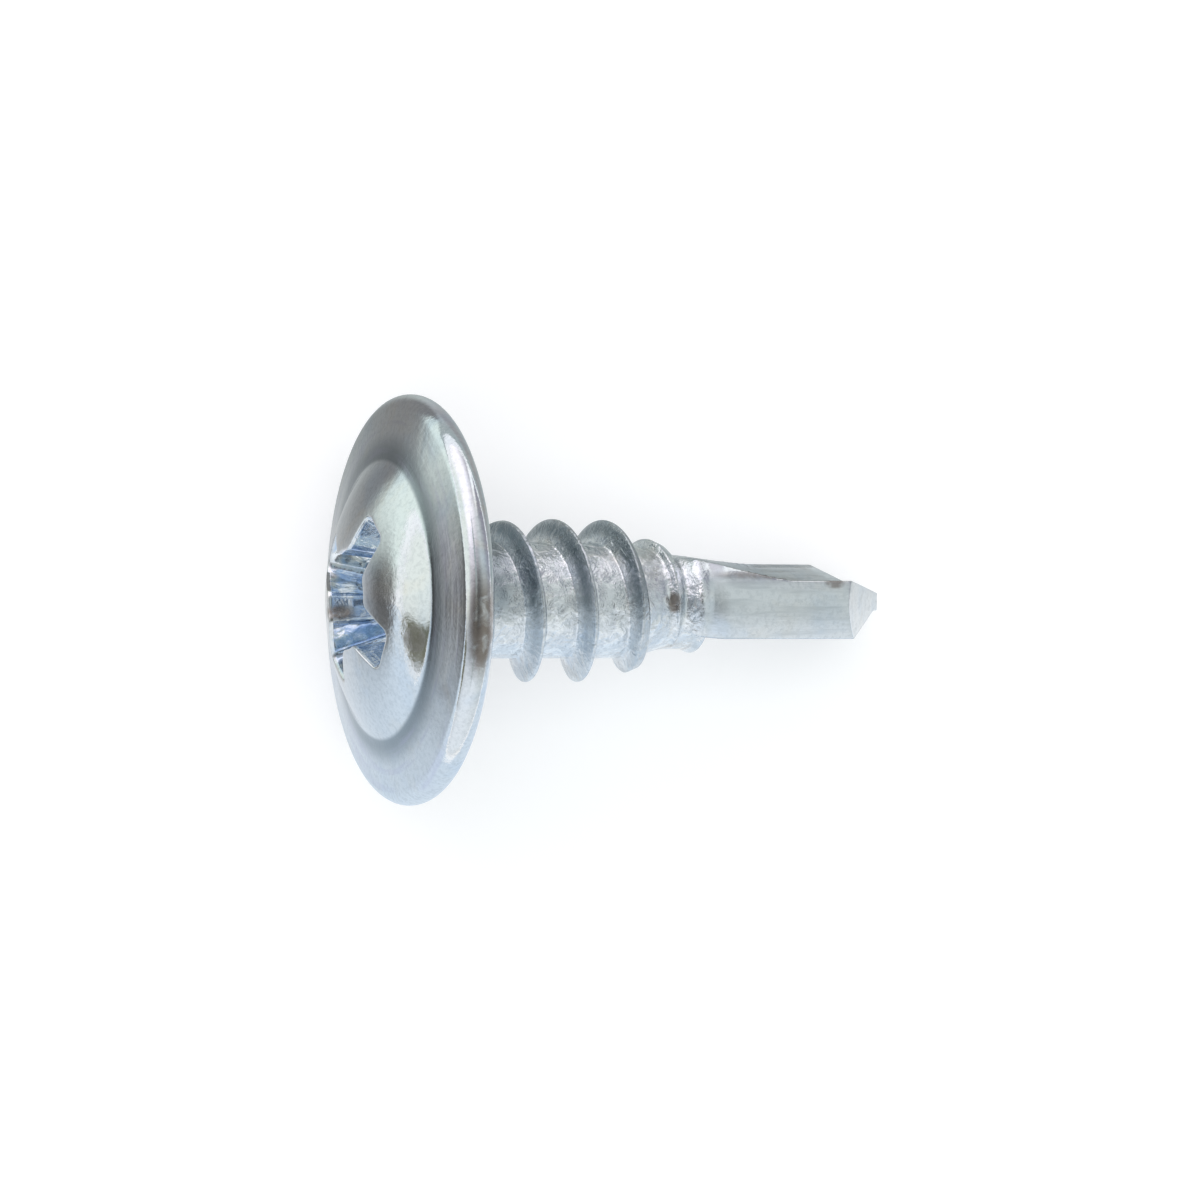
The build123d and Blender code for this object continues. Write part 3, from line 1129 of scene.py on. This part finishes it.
# lamps, walls and flags round the screw: name, direction (azimuth, elevation), half width
# and half height in degrees, softness, colour and strength; each lies over those before it
PATCHES = (
    ("low wall", (-90, 20), (80, 40), 0.5, (0.90, 0.95, 1.0), 1.0),
    ("right wall", (20, 30), (60, 40), 0.5, (0.65, 0.70, 0.70), 1.0),
    ("right flag", (50, 0), (50, 30), 0.5, (0.35, 0.35, 0.40), 1.0),
    ("soft box", (120, 20), (40, 40), 0.5, (1.0, 0.95, 1.0), 1.4),
    ("strip lamp", (60, 10), (6, 20), 0.5, (1.0, 1.0, 1.0), 1.2),
    ("left wall", (160, 10), (30, 20), 0.5, (0.95, 1.0, 0.95), 1.0),
    ("lens", (180, 75), (40, 6), 0.2, (0.45, 0.50, 0.50), 1.0),
    ("left flag", (-165, -10), (10, 25), 0.2, (0.20, 0.20, 0.15), 1.0),
)
AROUND = (0.05, 0.05, 0.05)  # the studio's colour behind them all

# cards on the bench, which only the metal shows: name, middle and half size in mm,
# softness and colour; each lies over those before it
CARDS = (
    ("blue card", (-50, -35), (200, 33), 0.1, (0.75, 0.85, 0.95)),
    ("grey card", (20, 30), (70, 30), 0.1, (0.45, 0.50, 0.50)),
    ("white card", (-60, 15), (60, 15), 0.1, (0.90, 1.0, 0.95)),
    ("dark card", (-50, 0), (35, 10), 0.5, (0.15, 0.15, 0.15)),
    ("grey strip", (10, 15), (20, 8), 0.5, (0.40, 0.40, 0.40)),
    ("dark strip", (-10, 12), (4, 10), 0.5, (0.25, 0.25, 0.25)),
)


FLOOR_HALF, CARDS_HALF, CARDS_HEIGHT = 1.5, 0.3, 0.01 * MM
LAMP_SIZE, LAMP_HEIGHT = 0.6, 0.6
PATCH_DEPTH = 90  # degrees: half a patch's size along its own direction
SENSOR = 36  # mm
CLIP_START, CLIP_END = 0.005, 10
WHITE = (1.0, 1.0, 1.0)


def world_light():
    """A soft studio round the screw, by direction. The camera sees it as plain white."""
    world = bpy.data.worlds.new("studio")
    world.use_nodes = True
    tree = world.node_tree
    place = tree.nodes.new("ShaderNodeTexCoord").outputs["Generated"]
    shade = AROUND
    for name, (azimuth, elevation), half, soft, tint, strength in PATCHES:
        a, e = math.radians(azimuth), math.radians(elevation)
        centre = Vector((math.cos(a) * math.cos(e), math.sin(a) * math.cos(e), math.sin(e)))
        right = Vector((-math.sin(a), math.cos(a), 0))
        turn = Matrix((centre, right, centre.cross(right))).transposed().to_euler()
        chords = [2 * math.sin(math.radians(d) / 2) for d in (PATCH_DEPTH, *half)]
        inside = oval(tree, place, centre, turn, chords, soft)
        shade = mixed(tree, inside, shade, tuple(c * strength for c in tint))
    seen = tree.nodes.new("ShaderNodeLightPath")
    shade = mixed(tree, seen.outputs["Is Camera Ray"], shade, WHITE)
    link(tree, shade, tree.nodes["Background"].inputs["Color"])
    return world


def pale_floor(look):
    """A white bench that keeps the screw's shadow."""
    material = bpy.data.materials.new("pale_floor")
    material.use_nodes = True
    tree = material.node_tree
    shader = tree.nodes["Principled BSDF"]
    shader.inputs["Base Color"].default_value = (*look.floor, 1)
    shader.inputs["Roughness"].default_value = 1.0
    shader.inputs["Specular IOR Level"].default_value = 0.0
    shader.inputs["Emission Color"].default_value = (*WHITE, 1)
    seen = tree.nodes.new("ShaderNodeLightPath").outputs
    direct = Term(tree, seen["Is Camera Ray"]) + Term(tree, seen["Is Glossy Ray"])
    direct = direct + Term(tree, seen["Is Transmission Ray"])
    link(tree, lower(direct, 1.0) * look.floor_glow, shader.inputs["Emission Strength"])
    return material


def card_paper():
    """The light and dark cards, clear between them."""
    material = bpy.data.materials.new("card_paper")
    material.use_nodes = True
    tree = material.node_tree
    tree.nodes.remove(tree.nodes["Principled BSDF"])
    place = tree.nodes.new("ShaderNodeTexCoord").outputs["Object"]
    shade = tree.nodes.new("ShaderNodeBsdfTransparent").outputs[0]
    for name, middle, half, soft, tint in CARDS:
        card = tree.nodes.new("ShaderNodeEmission")
        card.inputs["Color"].default_value = (*tint, 1)
        pick = tree.nodes.new("ShaderNodeMixShader")
        centre = (middle[0] * MM, middle[1] * MM, 0)
        inside = oval(tree, place, centre, (0, 0, 0), (half[0] * MM, half[1] * MM, 1), soft)
        link(tree, inside, pick.inputs[0])
        tree.links.new(shade, pick.inputs[1])
        tree.links.new(card.outputs[0], pick.inputs[2])
        shade = pick.outputs[0]
    tree.links.new(shade, tree.nodes["Material Output"].inputs["Surface"])
    return material


def sheet(name, half, height, material):
    """A level square that belongs to the stage."""
    mesh = bpy.data.meshes.new(name)
    corners = [(-half, -half), (half, -half), (half, half), (-half, half)]
    mesh.from_pydata([(x, y, height) for x, y in corners], [], [(0, 1, 2, 3)])
    mesh.materials.append(material)
    made = bpy.data.objects.new(name, mesh)
    bpy.context.scene.collection.objects.link(made)
    return made


def ceiling_lamp(look):
    """A wide lamp high over the bench. The metal shows the studio's cards in its place."""
    data = bpy.data.lights.new("ceiling", "AREA")
    data.size = LAMP_SIZE
    data.energy = look.lamp
    lamp = bpy.data.objects.new("ceiling", data)
    lamp.location = (0, 0, LAMP_HEIGHT)
    lamp.visible_glossy = False
    bpy.context.scene.collection.objects.link(lamp)


def place_camera(look):
    """Looks down on the lying screw, along the same line as a level side view of it."""
    matrix = lying()
    across, up, down = (Vector(matrix.col[i][:3]) for i in range(3))
    turn, roll = look.camera_turn, look.camera_roll

    # the screw's axis, its upper side and the way across it, as the camera has them
    level = math.cos(turn)
    axis_seen = Vector((level * math.cos(roll), level * math.sin(roll), -math.sin(turn)))
    up_seen = (Vector((0, 0, 1)) - axis_seen * axis_seen.z).normalized()
    across_seen = up_seen.cross(axis_seen)
    to_world = [
        down * axis_seen[i] + up * up_seen[i] + across * across_seen[i] for i in range(3)
    ]
    rim_middle = matrix.translation - down * settings("screw_head").rim
    aim = rim_middle + to_world[0] * look.camera_aim
    turned = Matrix(to_world).transposed().to_4x4()
    data = bpy.data.cameras.new("camera")
    data.sensor_width = SENSOR
    data.lens = look.focal_length
    data.clip_start = CLIP_START
    data.clip_end = CLIP_END
    camera = bpy.data.objects.new("camera", data)
    camera.matrix_world = Matrix.Translation(aim + to_world[2] * look.camera_distance) @ turned
    bpy.context.scene.collection.objects.link(camera)
    bpy.context.scene.camera = camera


class SCREW_OT_studio(bpy.types.Operator):
    """Sets the floor, the lamps and the camera round the screw"""

    bl_idname = "screw.studio"
    bl_label = "Studio"

    def execute(self, context):
        look = settings("screw_studio")
        sheet("floor", FLOOR_HALF, 0, pale_floor(look))
        cards = sheet("cards", CARDS_HALF, CARDS_HEIGHT, card_paper())
        cards.visible_camera = False
        cards.visible_diffuse = False
        cards.visible_shadow = False
        ceiling_lamp(look)
        context.scene.world = world_light()
        place_camera(look)
        context.scene.view_settings.view_transform = "Standard"
        return {"FINISHED"}


# ---------------------------------------------------------------- add-on


class VIEW3D_PT_screw(bpy.types.Panel):
    """Lists the steps that make the screw"""

    bl_idname = "VIEW3D_PT_screw"
    bl_label = "Self Drilling Screw"
    bl_space_type = "VIEW_3D"
    bl_region_type = "UI"
    bl_category = "Screw"

    def draw(self, context):
        for step in (SCREW_OT_head, SCREW_OT_shank, SCREW_OT_studio):
            self.layout.operator(step.bl_idname)


GROUPS = {
    "screw_head": ScrewHeadSizes,
    "screw_shank": ScrewShankSizes,
    "zinc_finish": ZincFinish,
    "screw_studio": StudioSettings,
}
CLASSES = (*GROUPS.values(), SCREW_OT_head, SCREW_OT_shank, SCREW_OT_studio, VIEW3D_PT_screw)


def register():
    """Registers the classes and adds the settings to the scene."""
    for item in CLASSES:
        bpy.utils.register_class(item)
    for name, group in GROUPS.items():
        setattr(bpy.types.Scene, name, bpy.props.PointerProperty(type=group))


def unregister():
    """Takes the settings and the classes away again."""
    for name in GROUPS:
        delattr(bpy.types.Scene, name)
    for item in reversed(CLASSES):
        bpy.utils.unregister_class(item)


def main():
    """Makes the screw and its studio."""
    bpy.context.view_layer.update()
    register()
    bpy.ops.screw.head()
    bpy.ops.screw.shank()
    bpy.ops.screw.studio()


if __name__ == "__main__":
    main()
